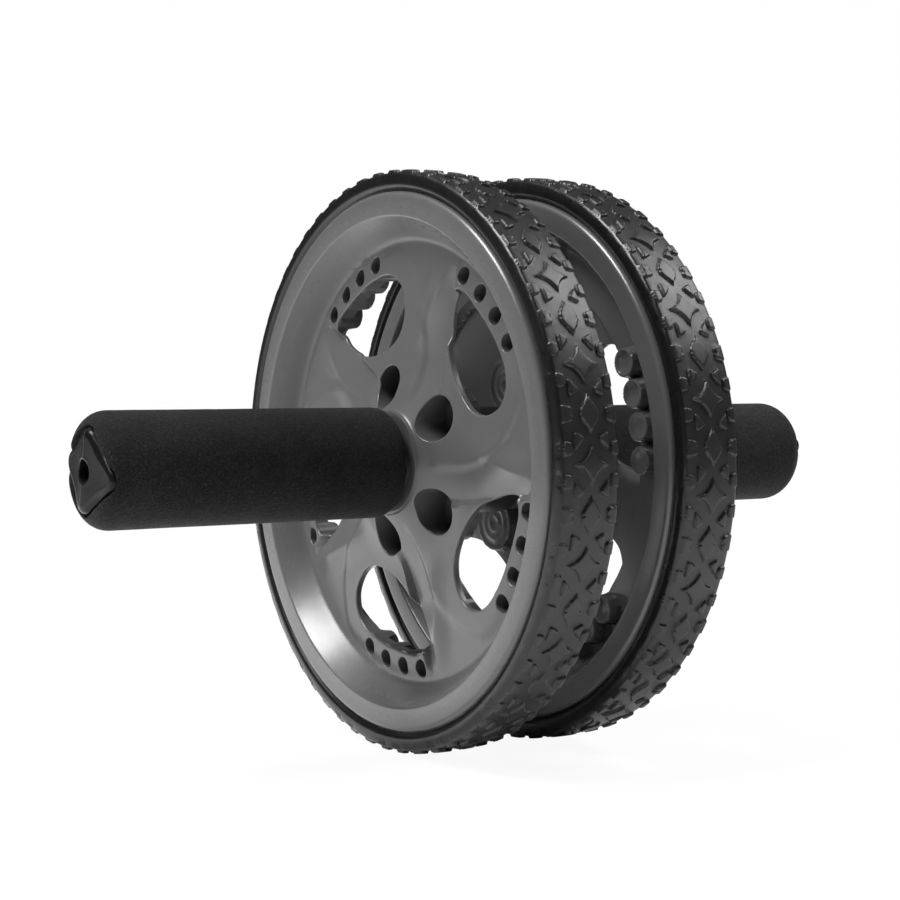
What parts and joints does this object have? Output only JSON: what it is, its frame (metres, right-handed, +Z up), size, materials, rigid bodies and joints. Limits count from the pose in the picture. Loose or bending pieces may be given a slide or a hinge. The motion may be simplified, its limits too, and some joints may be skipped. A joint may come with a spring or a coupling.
{
  "type": "ab wheel roller",
  "caption": "Double-wheel ab roller: treaded wheels that spin on one axle, with a foam grip at each end, for kneeling roll-outs.",
  "frame": {"origin": "on the floor, under the middle of the axle", "axes": "+X along the axle from the left grip to the right grip, +Y along the rolling direction, +Z up"},
  "size_m": [0.2748, 0.183, 0.183],
  "materials": {
    "wheel_plastic": "satin moulded",
    "tyre_rubber": "matte moulded tread",
    "foam": "fine closed-cell foam",
    "gloss_plastic": "gloss moulded",
    "satin_plastic": "satin moulded",
    "bush_plastic": "smooth self-lubricating",
    "steel": "zinc plated"
  },
  "bodies": {
    "handle": {"axle_rod": "steel", "centre_spacer": "satin_plastic", "left_inner_washer": "steel", "left_outer_washer": "steel", "left_handle_core": "satin_plastic", "left_grip": "foam", "left_end_cap": "gloss_plastic", "left_end_screw": "steel", "left_screw_washer": "steel", "right_inner_washer": "steel", "right_outer_washer": "steel", "right_handle_core": "satin_plastic", "right_grip": "foam", "right_end_cap": "gloss_plastic", "right_end_screw": "steel", "right_screw_washer": "steel"},
    "left_wheel_body": {"left_wheel": "wheel_plastic", "left_tyre": "tyre_rubber", "left_inner_bush": "bush_plastic", "left_outer_bush": "bush_plastic"},
    "right_wheel_body": {"right_wheel": "wheel_plastic", "right_tyre": "tyre_rubber", "right_inner_bush": "bush_plastic", "right_outer_bush": "bush_plastic"}
  },
  "joints": [
    {"name": "left_wheel_spin", "type": "hinge", "parent": "handle", "child": "left_wheel_body", "pos_m": [-0.0224, 0, 0.0915], "axis": [1, 0, 0], "continuous": true},
    {"name": "right_wheel_spin", "type": "hinge", "parent": "handle", "child": "right_wheel_body", "pos_m": [0.0224, 0, 0.0915], "axis": [1, 0, 0], "continuous": true}
  ]
}
